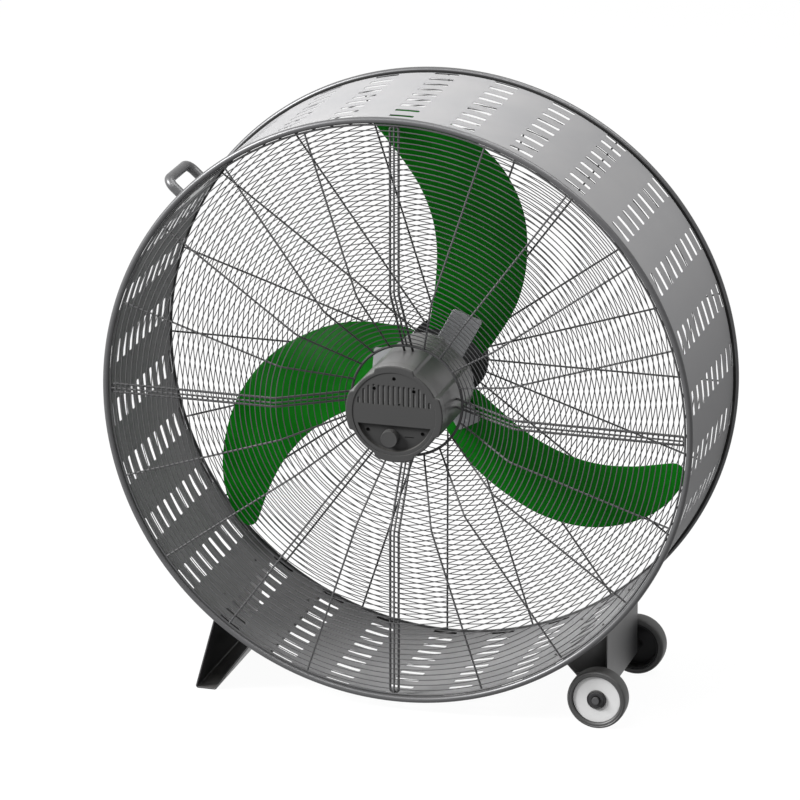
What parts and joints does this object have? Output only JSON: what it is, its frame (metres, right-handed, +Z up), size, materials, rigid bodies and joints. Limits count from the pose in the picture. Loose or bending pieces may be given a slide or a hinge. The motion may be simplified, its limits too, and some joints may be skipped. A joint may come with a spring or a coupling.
{
  "type": "drum fan",
  "caption": "Large drum fan: slotted steel drum with wire guards, a motor with a speed knob in the front guard, swept blades, a folded leg, wheels and a tipping handle.",
  "frame": {"origin": "on the floor under the middle of the drum, at the bottom centre of the object's box", "axes": "+Z up, -Y towards the front guard with the motor cover and the knob, +X towards the wheels; the air is blown out along -Y"},
  "size_m": [1.25, 0.4132, 1.2717],
  "materials": {
    "drum_paint": "semi-gloss powder coat, anthracite grey",
    "guard_paint": "semi-gloss powder coat, dark grey",
    "motor_paint": "satin, dark grey",
    "cover_plastic": "fine matt grain, dark grey",
    "black_paint": "satin powder coat, black",
    "black_plastic": "satin, black",
    "blade_plastic": "semi-gloss, green",
    "cast_hub": "as cast, satin",
    "steel": "zinc plated",
    "dark_steel": "black oxide",
    "winding": "varnished winding on a laminated core",
    "board": "solder mask, green",
    "tyre": "matt solid rubber",
    "wheel_plastic": "satin, light grey"
  },
  "bodies": {
    "frame": {"drum_shell": "drum_paint", "front_rim": "drum_paint", "rear_rim": "drum_paint", "front_guard": "guard_paint", "rear_guard": "guard_paint", "motor_arm_right": "guard_paint", "motor_arm_top": "guard_paint", "motor_arm_left": "guard_paint", "motor_arm_bottom": "guard_paint", "motor_housing": "motor_paint", "rear_end_shield": "motor_paint", "stator": "winding", "front_bearing": "steel", "rear_bearing": "steel", "cable_gland": "black_plastic", "front_cover": "cover_plastic", "cover_screw_1": "dark_steel", "cover_screw_2": "dark_steel", "cover_screw_3": "dark_steel", "cover_screw_4": "dark_steel", "cover_screw_5": "dark_steel", "control_board": "board", "speed_control": "steel", "leg": "black_paint", "leg_bolt_1": "dark_steel", "leg_bolt_2": "dark_steel", "leg_bolt_3": "dark_steel", "leg_bolt_4": "dark_steel", "wheel_bracket": "black_paint", "bracket_bolt_1": "dark_steel", "bracket_bolt_2": "dark_steel", "bracket_bolt_3": "dark_steel", "bracket_bolt_4": "dark_steel", "axle": "steel", "handle": "drum_paint"},
    "knob": {"speed_knob": "cover_plastic", "knob_shaft": "steel"},
    "impeller": {"motor_shaft": "steel", "rotor_core": "steel", "fan_hub": "cast_hub", "hub_nut": "steel", "blade_1": "blade_plastic", "blade_2": "blade_plastic", "blade_3": "blade_plastic", "blade_bracket_1": "cast_hub", "blade_bracket_2": "cast_hub", "blade_bracket_3": "cast_hub", "blade_rivet_1_1": "steel", "blade_rivet_1_2": "steel", "blade_rivet_2_1": "steel", "blade_rivet_2_2": "steel", "blade_rivet_3_1": "steel", "blade_rivet_3_2": "steel"},
    "front_wheel": {"front_wheel_tyre": "tyre", "front_wheel_disc": "wheel_plastic", "front_wheel_cap": "black_plastic"},
    "rear_wheel": {"rear_wheel_tyre": "tyre", "rear_wheel_disc": "wheel_plastic", "rear_wheel_cap": "black_plastic"}
  },
  "joints": [
    {"name": "impeller_spin", "type": "hinge", "parent": "frame", "child": "impeller", "pos_m": [0, 0.1, 0.6467], "axis": [0, 1, 0], "continuous": true},
    {"name": "front_wheel_spin", "type": "hinge", "parent": "frame", "child": "front_wheel", "pos_m": [0.425, -0.161, 0.0625], "axis": [0, 1, 0], "continuous": true},
    {"name": "rear_wheel_spin", "type": "hinge", "parent": "frame", "child": "rear_wheel", "pos_m": [0.425, 0.161, 0.0625], "axis": [0, 1, 0], "continuous": true},
    {"name": "knob_turn", "type": "hinge", "parent": "frame", "child": "knob", "pos_m": [-0.009, -0.2, 0.5937], "axis": [0, 1, 0], "range_deg": [0, 270]}
  ]
}
